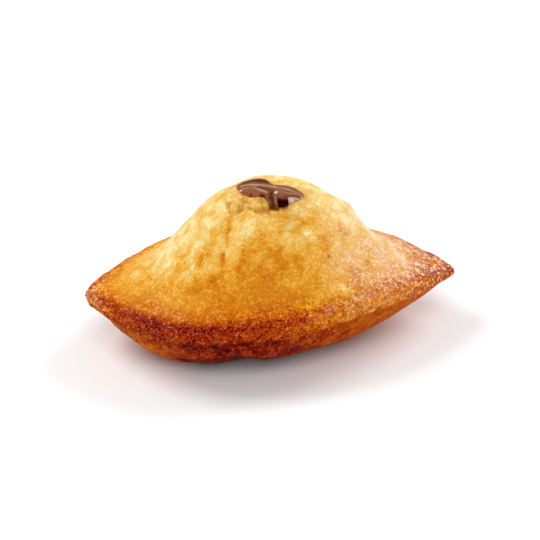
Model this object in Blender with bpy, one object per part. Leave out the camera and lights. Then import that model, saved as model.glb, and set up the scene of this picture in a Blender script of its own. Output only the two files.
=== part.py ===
import math

import bmesh
import bpy
import numpy as np

MM = 0.001

# The cake as a whole: tip to tip, across the brim at its widest, and the brim above the table
LENGTH = 81.2 * MM
WIDTH = 52.2 * MM
BRIM_HEIGHT = 14.0 * MM
WIDEST_X = -2.7 * MM
CAP_POWER = 60

# The two ends differ: -X is the wide fan end of the shell, +X the pointed hinge end
FAN_END = {
    "tip_power": 2.75,
    "tip_fullness": 1.04,
    "bluntness": 0.07,
    "hump_reach": 19.0 * MM,
    "belly_power": 3.8,
}
HINGE_END = {
    "tip_power": 1.87,
    "tip_fullness": 0.93,
    "bluntness": 0.015,
    "hump_reach": 18.4 * MM,
    "belly_power": 2.6,
}
FAN_DROOP = 1.0 * MM
FAN_DROOP_POWER = 1.5
HINGE_LIFT = 1.2 * MM
HINGE_DROOP = 3.8 * MM
HINGE_DROOP_POWER = 4
# Where the whole brim dips or rises, each (x, y, radius, height)
BRIM_DIPS = (
    (21.0 * MM, 15.0 * MM, 5.0 * MM, -1.3 * MM),
    (-28.0 * MM, 14.0 * MM, 8.0 * MM, -0.4 * MM),
    (34.5 * MM, 7.5 * MM, 3.5 * MM, -0.5 * MM),
    (41.0 * MM, 0.0, 2.2 * MM, 0.6 * MM),
    (-38.5 * MM, -6.5 * MM, 3.0 * MM, 0.6 * MM),
)

# The hump and the gentle crown under it, with how sharply each ends at the brim
HUMP_HEIGHT = 18.0 * MM
HUMP_X = 0.8 * MM
HUMP_REACH_Y = 15.3 * MM
HUMP_POWER = 3.1
HUMP_SIDE_POWER = 8
CROWN_HEIGHT = 3.2 * MM
CROWN_SIDE_POWER = 2
CROWN_TIP_POWER = 3

# The brim's browned edge
EDGE_RADIUS = 1.3 * MM
EDGE_WALL = 1.0 * MM
EDGE_STEP = 0.7 * MM
# How far the wall and the belly's first ring tuck in, as shares of the step
WALL_TUCK = 0.25
BELLY_TUCK = 1.6

# The fluted belly that hangs under the brim
BELLY_DEPTH = 12.2 * MM
BELLY_ROUND = 1.39
BELLY_SIDE_POWER = 4.0
BELLY_SIDE_ROUND = 0.83
BELLY_LUMPS = (
    (-7.6 * MM, -15.8 * MM, 4.0 * MM, 1.9 * MM),
    (6.0 * MM, -15.0 * MM, 5.5 * MM, 0.9 * MM),
    (-36.2 * MM, -6.5 * MM, 3.2 * MM, 0.9 * MM),
)
HINGE_X = 31.0 * MM
FLUTE_PITCH = math.radians(9.6)
FLUTE_DEPTH = 0.75 * MM
FLUTE_ROUND = 0.7
FLUTE_SIDE_POWER = 12
FLUTE_FULL_FROM = 34.0 * MM
SCALLOP_DEPTH = 0.45 * MM
# Grooves go in square to the surface, up to this slope, which is felt for over this distance
STEEPEST = 2.5
PROBE = 0.2 * MM

# The filling's mouth: a narrow waist and its lobes, each (direction in degrees, reach, power)
MOUTH_X = 1.3 * MM
MOUTH_Y = -3.3 * MM
MOUTH_WAIST = 2.1 * MM
MOUTH_LOBES = (
    (131.0, 5.8 * MM, 3.8),
    (184.0, 2.0 * MM, 5.0),
    (-2.0, 3.4 * MM, 7.0),
    (-9.0, 1.2 * MM, 60.0),
    (-52.0, 3.3 * MM, 4.0),
)
MOUTH_DEPTH = 5.5 * MM
MOUTH_DRAFT = 0.5 * MM
MOUTH_PROBE = math.radians(0.5)
FIT_GAP = 0.3 * MM
# The crumb stands up a little round the mouth, unevenly, with this many peaks
COLLAR_HEIGHT = 0.2 * MM
COLLAR_WIDTH = 1.2 * MM
COLLAR_MEAN = 0.6
COLLAR_PEAKS = 5
COLLAR_TURN = math.radians(40)

# The torn crumb on the mouth's near side: a raised lip and the hollow that runs outside it
TORN_LIP = (
    (-6.4 * MM, -4.8 * MM),
    (-4.6 * MM, -5.4 * MM),
    (-2.8 * MM, -6.3 * MM),
    (-1.1 * MM, -7.2 * MM),
    (0.5 * MM, -8.0 * MM),
)
TORN_LIP_WIDTH = 1.1 * MM
TORN_LIP_HEIGHT = 0.3 * MM
TORN_HOLLOW = (
    (-6.4 * MM, -7.8 * MM),
    (-4.9 * MM, -7.4 * MM),
    (-3.3 * MM, -8.0 * MM),
    (-1.7 * MM, -8.8 * MM),
    (0.0, -9.4 * MM),
    (2.0 * MM, -9.2 * MM),
)
TORN_HOLLOW_WIDTH = 0.8 * MM
TORN_HOLLOW_DEPTH = 0.35 * MM

# Unevenness of the baked top, each (x, y, radius, height)
LUMPS = (
    (18.6 * MM, 3.4 * MM, 1.9 * MM, 1.3 * MM),
    (22.8 * MM, 4.8 * MM, 3.3 * MM, -1.6 * MM),
    (23.0 * MM, 9.2 * MM, 2.6 * MM, -1.1 * MM),
    (14.2 * MM, -8.5 * MM, 3.6 * MM, 0.35 * MM),
    (-6.4 * MM, -7.8 * MM, 1.7 * MM, -0.5 * MM),
    (-11.5 * MM, -5.0 * MM, 4.2 * MM, 0.5 * MM),
    (-16.5 * MM, 5.0 * MM, 3.2 * MM, -0.45 * MM),
    (-3.0 * MM, -12.5 * MM, 3.8 * MM, 0.45 * MM),
    (6.5 * MM, -13.0 * MM, 4.6 * MM, -0.35 * MM),
    (-9.0 * MM, 9.5 * MM, 4.4 * MM, 0.2 * MM),
    (-6.0 * MM, 6.5 * MM, 2.4 * MM, -0.3 * MM),
    (7.0 * MM, 11.5 * MM, 4.8 * MM, -0.4 * MM),
    (13.6 * MM, 5.0 * MM, 4.0 * MM, -0.5 * MM),
    (-11.5 * MM, 3.0 * MM, 4.0 * MM, -0.35 * MM),
    (6.5 * MM, 2.5 * MM, 3.6 * MM, -0.3 * MM),
)
UNEVEN_SIDE_POWER = 4
# The crease that runs down the hump's near left side, from the filling's mouth
CREASE = ((-6.5 * MM, -5.7 * MM), (-7.3 * MM, -9.2 * MM), (-9.2 * MM, -12.9 * MM))
CREASE_WIDTH = 1.5 * MM
CREASE_DEPTH = 0.8 * MM
# Long low waves over the whole top, each (share along x, share along y, phase)
SWELL_HEIGHT = 0.13 * MM
SWELL_LENGTH = 14.0 * MM
SWELL_WAVES = ((1.0, 0.6, 0.0), (-0.5, 0.8, 1.3))

# The chocolate: how far it stands above the crumb, and how round its edge is
FILLING_RISE = 0.4 * MM
FILLING_EDGE_DROP = 0.15 * MM
FILLING_EDGE_POWER = 8
# Folds in its skin, each (path, half width, height)
FOLDS = (
    (((-4.3 * MM, -0.6 * MM), (-0.7 * MM, -1.4 * MM), (2.6 * MM, -3.1 * MM)), 0.6 * MM, 0.3 * MM),
    (((2.6 * MM, -2.9 * MM), (4.4 * MM, -3.4 * MM), (8.2 * MM, -4.9 * MM)), 0.6 * MM, 0.25 * MM),
    (((-3.8 * MM, 2.4 * MM), (-1.4 * MM, 2.3 * MM), (1.3 * MM, 0.0)), 0.6 * MM, -0.2 * MM),
)
# The near edge of the right lobe's skin, below which it drops into a hollow and a facet
SKIN_EDGE = (
    (1.8 * MM, -4.9 * MM),
    (4.2 * MM, -5.7 * MM),
    (6.2 * MM, -5.5 * MM),
    (8.8 * MM, -5.2 * MM),
)
SKIN_EDGE_WIDTH = 0.6 * MM
HOLLOW_FROM = 2.9 * MM
FACET_FROM = 5.0 * MM
HOLLOW_DEPTH = 1.6 * MM
FACET_DEPTH = 0.4 * MM

# How finely the solids are divided, and how the rings crowd toward the mouth and the rim
RIM_POINTS = 132
TOP_RINGS = 18
TOP_CROWDING = 1.25
BELLY_RINGS = 15
BELLY_CROWDING = 1.25
EDGE_RINGS = 3
OUTLINE_STEPS = 4000
FILLING_POINTS = 96
FILLING_RINGS = 12

# Finish: colour, roughness, and the angle from which an edge is shaded sharp
SPONGE_COLOUR = (0.66, 0.29, 0.055, 1.0)
SPONGE_ROUGHNESS = 0.55
SPONGE_SHARP_FROM = math.radians(50)
CHOCOLATE_COLOUR = (0.095, 0.032, 0.014, 1.0)
CHOCOLATE_ROUGHNESS = 0.25
CHOCOLATE_SHARP_FROM = math.radians(45)


def by_end(x, name):
    return np.where(x > WIDEST_X, HINGE_END[name], FAN_END[name])


def toward_tip(x):
    reach = np.where(x > WIDEST_X, LENGTH / 2 - WIDEST_X, LENGTH / 2 + WIDEST_X)
    return np.clip(np.abs(x - WIDEST_X) / reach, 0.0, 1.0)


def half_width(x):
    # A leaf shape, with a short blunt cap at its ends
    t = toward_tip(x)
    leaf = (1.0 - t ** by_end(x, "tip_power")) ** by_end(x, "tip_fullness")
    cap = np.sqrt(1.0 - t**CAP_POWER)
    blunt = by_end(x, "bluntness")
    return WIDTH / 2 * (leaf * (1 - blunt) + cap * blunt)


def bumps(x, y, places):
    height = np.zeros(np.shape(x))
    for place_x, place_y, radius, rise in places:
        height = height + rise * np.exp(-((x - place_x) ** 2 + (y - place_y) ** 2) / radius**2)
    return height


def ridge(x, y, path, width):
    # 1 along the path, fading to 0 on both sides of it
    nearest = np.full(np.shape(x), LENGTH)
    for (ax, ay), (bx, by) in zip(path, path[1:]):
        run_x, run_y = bx - ax, by - ay
        along = ((x - ax) * run_x + (y - ay) * run_y) / (run_x**2 + run_y**2)
        along = np.clip(along, 0.0, 1.0)
        nearest = np.minimum(nearest, np.hypot(x - ax - along * run_x, y - ay - along * run_y))
    return np.exp(-((nearest / width) ** 2))


def fade_between(value, low, high):
    t = np.clip((value - low) / (high - low), 0.0, 1.0)
    return t * t * (3 - 2 * t)


def brim_level(x, y):
    t = toward_tip(x)
    hinge = HINGE_LIFT * t - HINGE_DROOP * t**HINGE_DROOP_POWER
    fan = -FAN_DROOP * t**FAN_DROOP_POWER
    return BRIM_HEIGHT + np.where(x > WIDEST_X, hinge, fan) + bumps(x, y, BRIM_DIPS)


def across(x, y, inset=0.0):
    # 0 on the middle line and 1 at the outline
    width = np.maximum(half_width(x) - inset, 1e-6)
    return np.clip(np.abs(y) / width, 0.0, 1.0)


def swell(x, y):
    turn = 2 * math.pi / SWELL_LENGTH
    waves = sum(np.sin(turn * (a * x + b * y) + phase) for a, b, phase in SWELL_WAVES)
    return SWELL_HEIGHT * waves


def mouth_radius(angle):
    radius = np.full(np.shape(angle), MOUTH_WAIST)
    for direction, reach, power in MOUTH_LOBES:
        facing = np.clip(np.cos(angle - math.radians(direction)), 0.0, 1.0)
        radius = radius + reach * facing**power
    return radius


def collar(x, y):
    angle = np.arctan2(y - MOUTH_Y, x - MOUTH_X)
    outside = np.hypot(x - MOUTH_X, y - MOUTH_Y) - mouth_radius(angle)
    torn = COLLAR_MEAN + (1 - COLLAR_MEAN) * np.sin(COLLAR_PEAKS * angle + COLLAR_TURN)
    return COLLAR_HEIGHT * torn * np.exp(-((outside / COLLAR_WIDTH) ** 2))


def top_height(x, y):
    side = across(x, y)
    tip = np.abs(x) / (LENGTH / 2)
    hump_x = (x - HUMP_X) / np.where(x > HUMP_X, HINGE_END["hump_reach"], FAN_END["hump_reach"])
    spread = np.hypot(hump_x, y / HUMP_REACH_Y)
    hump = HUMP_HEIGHT * 0.5 ** (spread**HUMP_POWER) * (1 - side**HUMP_SIDE_POWER)
    crown = CROWN_HEIGHT * (1 - side**CROWN_SIDE_POWER) * (1 - tip**CROWN_TIP_POWER)
    uneven = swell(x, y) + collar(x, y) + bumps(x, y, LUMPS)
    uneven = uneven - CREASE_DEPTH * ridge(x, y, CREASE, CREASE_WIDTH)
    uneven = uneven + TORN_LIP_HEIGHT * ridge(x, y, TORN_LIP, TORN_LIP_WIDTH)
    uneven = uneven - TORN_HOLLOW_DEPTH * ridge(x, y, TORN_HOLLOW, TORN_HOLLOW_WIDTH)
    return brim_level(x, y) + crown + hump + uneven * (1 - side**UNEVEN_SIDE_POWER)


def flute_phase(x, y):
    return np.arctan2(y, HINGE_X - x) / FLUTE_PITCH


def groove(x, y):
    fullness = np.clip(np.hypot(HINGE_X - x, y) / FLUTE_FULL_FROM, 0.0, 1.0) ** 2
    facing_fan = np.clip((HINGE_X - x) / FLUTE_FULL_FROM * 2, 0.0, 1.0)
    lobes = np.abs(np.sin(math.pi * flute_phase(x, y))) ** FLUTE_ROUND
    return (1 - lobes) * fullness * facing_fan


def belly_height(x, y):
    side = across(x, y, EDGE_STEP)
    ends = np.clip(1 - toward_tip(x) ** by_end(x, "belly_power"), 0.0, 1.0) ** BELLY_ROUND
    sides = np.clip(1 - side**BELLY_SIDE_POWER, 0.0, 1.0) ** BELLY_SIDE_ROUND
    drop = EDGE_RADIUS + EDGE_WALL + BELLY_DEPTH * ends * sides
    return brim_level(x, y) - drop + bumps(x, y, BELLY_LUMPS)


def belly_points(x, y):
    # The grooves are pressed in square to the surface, and the lowest spot is flat on the table
    slope_x = (belly_height(x + PROBE, y) - belly_height(x - PROBE, y)) / (2 * PROBE)
    slope_y = (belly_height(x, y + PROBE) - belly_height(x, y - PROBE)) / (2 * PROBE)
    slope_x = np.clip(slope_x, -STEEPEST, STEEPEST)
    slope_y = np.clip(slope_y, -STEEPEST, STEEPEST)
    length = np.sqrt(slope_x**2 + slope_y**2 + 1)
    press = FLUTE_DEPTH * groove(x, y) * (1 - across(x, y, EDGE_STEP) ** FLUTE_SIDE_POWER)
    z = belly_height(x, y) + press / length
    return np.stack([x - slope_x / length * press, y - slope_y / length * press, np.maximum(z, 0.0)], 1)


def rim_outline():
    # Points evenly spaced along the outline, starting at the hinge tip and with both tips kept
    angle = np.linspace(0.0, math.pi, OUTLINE_STEPS + 1)
    forward = np.cos(angle)
    reach = np.where(forward > 0, LENGTH / 2 - WIDEST_X, LENGTH / 2 + WIDEST_X)
    x = WIDEST_X + reach * forward
    y = half_width(x)
    run = np.concatenate([[0.0], np.cumsum(np.hypot(np.diff(x), np.diff(y)))])
    even = np.linspace(0.0, run[-1], RIM_POINTS // 2 + 1)
    half_x = np.interp(even, run, x)
    half_y = np.interp(even, run, y)
    x = np.concatenate([half_x, half_x[-2:0:-1]])
    y = np.concatenate([half_y, -half_y[-2:0:-1]])
    inward = SCALLOP_DEPTH * groove(x, y) / np.hypot(HINGE_X - x, y)
    inward = inward * (np.abs(y) > PROBE)
    return x + (HINGE_X - x) * inward, y - y * inward


def add_ring(mesh, x, y, z):
    return [mesh.verts.new((px, py, pz)) for px, py, pz in zip(x, y, z)]


def join_rings(mesh, rings):
    # Each pair of neighbouring rings is joined by a band of quads
    for outer, inner in zip(rings, rings[1:]):
        count = len(outer)
        for i in range(count):
            j = (i + 1) % count
            mesh.faces.new((outer[i], outer[j], inner[j], inner[i]))


def close_ring(mesh, ring, x, y, z):
    middle = mesh.verts.new((x, y, z))
    count = len(ring)
    for i in range(count):
        mesh.faces.new((ring[i], ring[(i + 1) % count], middle))


def finish_mesh(mesh, name, material, sharp_from):
    bmesh.ops.recalc_face_normals(mesh, faces=mesh.faces)
    bmesh.ops.triangulate(mesh, faces=mesh.faces)
    data = bpy.data.meshes.new(name)
    mesh.to_mesh(data)
    mesh.free()
    data.shade_smooth()
    data.set_sharp_from_angle(angle=sharp_from)
    data.materials.append(material)
    piece = bpy.data.objects.new(name, data)
    bpy.context.collection.objects.link(piece)
    return piece


def make_material(name, colour, roughness):
    material = bpy.data.materials.new(name)
    material.use_nodes = True
    shader = material.node_tree.nodes["Principled BSDF"]
    shader.inputs["Base Color"].default_value = colour
    shader.inputs["Roughness"].default_value = roughness
    shader.inputs["Metallic"].default_value = 0.0
    return material


def mouth_ring(angle, inward=0.0):
    # A ring inside the mouth, moved in by the same distance square to the mouth's outline
    radius = mouth_radius(angle)
    slope = (mouth_radius(angle + MOUTH_PROBE) - mouth_radius(angle - MOUTH_PROBE)) / (2 * MOUTH_PROBE)
    radius = radius - inward * np.sqrt(1 + (slope / radius) ** 2)
    return MOUTH_X + radius * np.cos(angle), MOUTH_Y + radius * np.sin(angle)


def mouth_floor():
    return float(top_height(np.array([MOUTH_X]), np.array([MOUTH_Y]))[0]) - MOUTH_DEPTH


def build_sponge(material):
    mesh = bmesh.new()
    rim_x, rim_y = rim_outline()
    level = brim_level(rim_x, rim_y)
    from_mouth_x = rim_x - MOUTH_X
    from_mouth_y = rim_y - MOUTH_Y
    distance = np.hypot(from_mouth_x, from_mouth_y)
    angle = np.arctan2(from_mouth_y, from_mouth_x)
    rings = []

    # The mouth: its floor, its wall and its edge
    edge_x, edge_y = mouth_ring(angle)
    floor_x, floor_y = mouth_ring(angle, MOUTH_DRAFT)
    floor = mouth_floor()
    edge_z = top_height(edge_x, edge_y)
    rings.append(add_ring(mesh, floor_x, floor_y, np.full(RIM_POINTS, floor)))
    half_x = (edge_x + floor_x) / 2
    half_y = (edge_y + floor_y) / 2
    rings.append(add_ring(mesh, half_x, half_y, (edge_z + floor) / 2))

    # The top, from the mouth's edge out to where the brim starts to round over
    brim_x = rim_x - from_mouth_x / distance * EDGE_RADIUS
    brim_y = rim_y - from_mouth_y / distance * EDGE_RADIUS
    for step in range(TOP_RINGS + 1):
        share = (step / TOP_RINGS) ** TOP_CROWDING
        x = edge_x + (brim_x - edge_x) * share
        y = edge_y + (brim_y - edge_y) * share
        rings.append(add_ring(mesh, x, y, top_height(x, y)))

    # The rounded edge, the wall below it and the step in to the belly
    brim_z = top_height(brim_x, brim_y)
    for step in range(1, EDGE_RINGS + 1):
        turn = math.pi / 2 * step / EDGE_RINGS
        x = brim_x + (rim_x - brim_x) * math.sin(turn)
        y = brim_y + (rim_y - brim_y) * math.sin(turn)
        z = level - EDGE_RADIUS + (brim_z - level + EDGE_RADIUS) * math.cos(turn)
        rings.append(add_ring(mesh, x, y, z))
    to_hinge_x = HINGE_X - rim_x
    to_hinge_distance = np.hypot(to_hinge_x, rim_y)
    to_hinge_x = to_hinge_x / to_hinge_distance
    to_hinge_y = -rim_y / to_hinge_distance
    wall_z = level - EDGE_RADIUS - EDGE_WALL
    tuck = EDGE_STEP * WALL_TUCK
    rings.append(add_ring(mesh, rim_x + to_hinge_x * tuck, rim_y + to_hinge_y * tuck, wall_z))
    belly_x = rim_x + to_hinge_x * EDGE_STEP * BELLY_TUCK
    belly_y = rim_y + to_hinge_y * EDGE_STEP * BELLY_TUCK

    # The belly, along lines that run to the hinge as the flutes do
    for step in range(BELLY_RINGS):
        share = 1 - (step / BELLY_RINGS) ** BELLY_CROWDING
        x = HINGE_X + (belly_x - HINGE_X) * share
        y = belly_y * share
        points = belly_points(x, y)
        rings.append(add_ring(mesh, points[:, 0], points[:, 1], points[:, 2]))

    join_rings(mesh, rings)
    close_ring(mesh, rings[0], MOUTH_X, MOUTH_Y, floor)
    hinge_z = float(belly_height(np.array([HINGE_X]), np.array([0.0]))[0])
    close_ring(mesh, rings[-1], HINGE_X, 0.0, hinge_z)
    return finish_mesh(mesh, "madeleine_sponge", material, SPONGE_SHARP_FROM)


def filling_height(x, y, share):
    # share is 0 at the middle of the mouth and 1 at the chocolate's edge
    edge = share**FILLING_EDGE_POWER
    height = top_height(x, y) - collar(x, y) + FILLING_RISE * (1 - edge) - FILLING_EDGE_DROP * edge
    for path, width, rise in FOLDS:
        height = height + rise * ridge(x, y, path, width) * (1 - edge)
    edge_x, edge_y = zip(*SKIN_EDGE)
    below = fade_between(np.interp(x, edge_x, edge_y) - y, 0.0, SKIN_EDGE_WIDTH)
    below = below * fade_between(x, HOLLOW_FROM, HOLLOW_FROM + SKIN_EDGE_WIDTH)
    facet = fade_between(x, FACET_FROM, FACET_FROM + SKIN_EDGE_WIDTH)
    return height - below * (HOLLOW_DEPTH + (FACET_DEPTH - HOLLOW_DEPTH) * facet)


def build_filling(material):
    mesh = bmesh.new()
    angle = np.arange(FILLING_POINTS) * 2 * math.pi / FILLING_POINTS
    floor = mouth_floor() + FIT_GAP
    base_x, base_y = mouth_ring(angle, MOUTH_DRAFT + FIT_GAP)
    edge_x, edge_y = mouth_ring(angle, FIT_GAP)
    rings = [add_ring(mesh, base_x, base_y, np.full(FILLING_POINTS, floor))]
    for step in range(FILLING_RINGS):
        share = 1 - step / FILLING_RINGS
        x = MOUTH_X + (edge_x - MOUTH_X) * share
        y = MOUTH_Y + (edge_y - MOUTH_Y) * share
        rings.append(add_ring(mesh, x, y, filling_height(x, y, share)))
    join_rings(mesh, rings)
    close_ring(mesh, rings[0], MOUTH_X, MOUTH_Y, floor)
    middle = filling_height(np.array([MOUTH_X]), np.array([MOUTH_Y]), 0.0)
    close_ring(mesh, rings[-1], MOUTH_X, MOUTH_Y, float(middle[0]))
    return finish_mesh(mesh, "chocolate_filling", material, CHOCOLATE_SHARP_FROM)


def main():
    for old in list(bpy.data.objects):
        bpy.data.objects.remove(old, do_unlink=True)
    build_sponge(make_material("golden_sponge", SPONGE_COLOUR, SPONGE_ROUGHNESS))
    build_filling(make_material("soft_chocolate", CHOCOLATE_COLOUR, CHOCOLATE_ROUGHNESS))


main()
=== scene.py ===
import math

import bpy
import numpy as np
from mathutils import Matrix, Vector, noise


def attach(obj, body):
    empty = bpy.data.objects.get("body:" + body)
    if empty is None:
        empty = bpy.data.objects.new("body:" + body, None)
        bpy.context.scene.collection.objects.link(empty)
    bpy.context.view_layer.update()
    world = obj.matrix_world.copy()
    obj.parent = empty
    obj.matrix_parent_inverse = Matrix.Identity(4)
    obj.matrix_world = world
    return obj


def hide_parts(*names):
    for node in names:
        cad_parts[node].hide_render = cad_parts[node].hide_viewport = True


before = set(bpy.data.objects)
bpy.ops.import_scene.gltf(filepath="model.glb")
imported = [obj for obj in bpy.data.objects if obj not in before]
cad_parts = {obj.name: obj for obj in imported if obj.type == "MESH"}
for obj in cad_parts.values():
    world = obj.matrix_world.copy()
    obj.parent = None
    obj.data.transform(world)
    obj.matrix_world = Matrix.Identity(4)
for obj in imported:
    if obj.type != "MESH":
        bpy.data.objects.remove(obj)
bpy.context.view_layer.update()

mm = 0.001

# A chocolate madeleine resting on its belly. Places and sizes below are in millimetres,
# in the frame's own axes: -X is the fan end of the shell, +X the hinge end.


# Shape of the baked shell

cake = {
    "length": 81.2,
    "width": 52.2,
    "brimHeight": 14.0,
    "widestX": -2.7,
    "capPower": 60,
    "humpHeight": 18.0,
    "humpX": 0.8,
    "humpReachY": 15.3,
    "humpPower": 3.1,
    "humpSidePower": 8,
    "crownHeight": 3.2,
    "crownSidePower": 2,
    "crownTipPower": 3,
    "unevenSidePower": 4,
    "edgeRadius": 1.3,
    "edgeWall": 1.0,
    "tipThinning": 0.5,
    "tipThinned": (33.0, 40.0),
    "edgeStep": 0.7,
    "wallTuck": 0.25,
    "bellyTuck": 1.6,
    "bellyDepth": 12.2,
    "bellyRound": 1.39,
    "bellySidePower": 4.0,
    "bellySideRound": 0.83,
    "fanDroop": 1.0,
    "fanDroopPower": 1.5,
    "hingeLift": 1.2,
    "hingeDroop": 3.8,
    "hingeDroopPower": 4,
}
fanEnd = {"tipPower": 2.75, "tipFullness": 1.04, "bluntness": 0.07, "humpReach": 19.0, "bellyPower": 3.8}
hingeEnd = {"tipPower": 1.87, "tipFullness": 0.93, "bluntness": 0.015, "humpReach": 18.4, "bellyPower": 2.6}
flutes = {
    "hingeX": 31.0,
    "pitch": 9.6,
    "depth": 0.75,
    "round": 0.7,
    "sidePower": 12,
    "fullFrom": 34.0,
    "scallop": 0.45,
    "steepest": 2.5,
    "probe": 0.2,
    "outlineSteps": 8000,
}
mouth = {
    "x": 1.3,
    "y": -3.3,
    "waist": 2.1,
    "lobes": ((131.0, 5.8, 3.8), (184.0, 2.0, 5.0), (-2.0, 3.4, 7.0), (-9.0, 1.2, 60.0), (-52.0, 3.3, 4.0)),
    "depth": 5.5,
    "draft": 0.5,
    "collarHeight": 0.2,
    "collarWidth": 1.2,
    "collarMean": 0.6,
    "collarPeaks": 5,
    "collarTurn": math.radians(40),
}
# The torn crumb on the mouth's near side: a raised lip and the hollow that runs outside it
tornLip = {
    "path": ((-6.4, -4.8), (-4.6, -5.4), (-2.8, -6.3), (-1.1, -7.2), (0.5, -8.0)),
    "width": 1.1,
    "height": 0.3,
}
tornHollow = {
    "path": ((-6.2, -7.0), (-4.9, -6.6), (-3.2, -7.1), (-1.4, -8.0), (0.8, -8.2), (2.2, -7.9)),
    "width": 0.6,
    "depth": 0.3,
}
# Unevenness of the top: (x, y, radius, height) of each lump or dent
lumps = (
    (18.6, 3.4, 1.9, 1.3),
    (22.8, 4.8, 3.3, -1.6),
    (23.0, 9.2, 2.6, -1.1),
    (14.2, -8.5, 3.6, 0.35),
    (-6.4, -7.8, 1.7, -0.5),
    (-11.5, -5.0, 4.2, 0.5),
    (-16.5, 5.0, 3.2, -0.45),
    (-3.0, -12.5, 3.8, 0.45),
    (6.5, -13.0, 4.6, -0.35),
    (-9.0, 9.5, 4.4, 0.2),
    (-6.0, 6.5, 2.4, -0.3),
    (7.0, 11.5, 4.8, -0.4),
    (13.6, 5.0, 4.0, -0.5),
    (-11.5, 3.0, 4.0, -0.35),
    (6.5, 2.5, 3.6, -0.3),
)
# Where the belly is pressed in: (x, y, radius, height)
bellyLumps = (
    (-7.6, -15.8, 4.0, 1.9),
    (6.0, -15.0, 5.5, 0.9),
    (-36.2, -6.5, 3.2, 0.9),
)
# Where the whole brim dips or rises: (x, y, radius, height)
brimDips = (
    (21.0, 15.0, 5.0, -1.3),
    (-28.0, 14.0, 8.0, -0.4),
    (34.5, 7.5, 3.5, -0.5),
    (41.0, 0.0, 2.2, 0.25),
    (-38.5, -6.5, 3.0, 0.6),
)
crease = {"path": ((-6.5, -5.7), (-7.3, -9.2), (-9.2, -12.9)), "width": 1.5, "depth": 0.8}
# Long low waves over the whole top: (share along x, share along y, phase) of each
swellShape = {"height": 0.13, "length": 14.0, "waves": ((1.0, 0.6, 0.0), (-0.5, 0.8, 1.3))}


def byEnd(x, key):
    return np.where(x > cake["widestX"], hingeEnd[key], fanEnd[key])


def towardTip(x):
    half = cake["length"] / 2
    widest = cake["widestX"]
    reach = np.where(x > widest, half - widest, half + widest)
    return np.clip(np.abs(x - widest) / reach, 0.0, 1.0)


def halfWidth(x):
    t = towardTip(x)
    leaf = (1.0 - t ** byEnd(x, "tipPower")) ** byEnd(x, "tipFullness")
    cap = np.sqrt(1.0 - t ** cake["capPower"])
    blunt = byEnd(x, "bluntness")
    return cake["width"] / 2 * (leaf * (1 - blunt) + cap * blunt)


def bumps(x, y, places):
    height = np.zeros(np.shape(x))
    for placeX, placeY, radius, rise in places:
        height = height + rise * np.exp(-((x - placeX) ** 2 + (y - placeY) ** 2) / radius**2)
    return height


def ridge(x, y, path, width):
    # 1 along the path, fading to 0 on both sides of it
    nearest = np.full(np.shape(x), cake["length"])
    for (ax, ay), (bx, by) in zip(path, path[1:]):
        runX, runY = bx - ax, by - ay
        share = np.clip(((x - ax) * runX + (y - ay) * runY) / (runX**2 + runY**2), 0.0, 1.0)
        nearest = np.minimum(nearest, np.hypot(x - ax - share * runX, y - ay - share * runY))
    return np.exp(-((nearest / width) ** 2))


def fade(value, low, high):
    t = np.clip((value - low) / (high - low), 0.0, 1.0)
    return t * t * (3 - 2 * t)


def plateau(value, low, full, end, gone):
    return fade(value, low, full) * (1 - fade(value, end, gone))


def along(x, points):
    places, values = zip(*points)
    return np.interp(x, places, values)


def brimLevel(x, y):
    t = towardTip(x)
    hinge = cake["hingeLift"] * t - cake["hingeDroop"] * t ** cake["hingeDroopPower"]
    fan = -cake["fanDroop"] * t ** cake["fanDroopPower"]
    return cake["brimHeight"] + np.where(x > cake["widestX"], hinge, fan) + bumps(x, y, brimDips)


def wallHeight(x):
    # The lip thins out at the hinge tip
    return cake["edgeWall"] * (1 - cake["tipThinning"] * fade(x, *cake["tipThinned"]))


def across(x, y, inset=0.0):
    # 0 on the middle line and 1 at the outline
    return np.clip(np.abs(y) / np.maximum(halfWidth(x) - inset, 1e-3), 0.0, 1.0)


def swell(x, y):
    turn = 2 * math.pi / swellShape["length"]
    waves = sum(np.sin(turn * (a * x + b * y) + phase) for a, b, phase in swellShape["waves"])
    return swellShape["height"] * waves


def mouthRadius(angle):
    radius = np.full(np.shape(angle), mouth["waist"])
    for direction, reach, power in mouth["lobes"]:
        facing = np.clip(np.cos(angle - math.radians(direction)), 0.0, 1.0)
        radius = radius + reach * facing**power
    return radius


def outsideMouth(x, y):
    angle = np.arctan2(y - mouth["y"], x - mouth["x"])
    return np.hypot(x - mouth["x"], y - mouth["y"]) - mouthRadius(angle)


def aroundMouth(angle, reach):
    return mouth["x"] + reach * np.cos(angle), mouth["y"] + reach * np.sin(angle)


def mouthFloor():
    return float(topHeight(mouth["x"], mouth["y"])) - mouth["depth"]


def collar(x, y):
    angle = np.arctan2(y - mouth["y"], x - mouth["x"])
    mean = mouth["collarMean"]
    torn = mean + (1 - mean) * np.sin(mouth["collarPeaks"] * angle + mouth["collarTurn"])
    near = np.exp(-((outsideMouth(x, y) / mouth["collarWidth"]) ** 2))
    return mouth["collarHeight"] * torn * near


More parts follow.
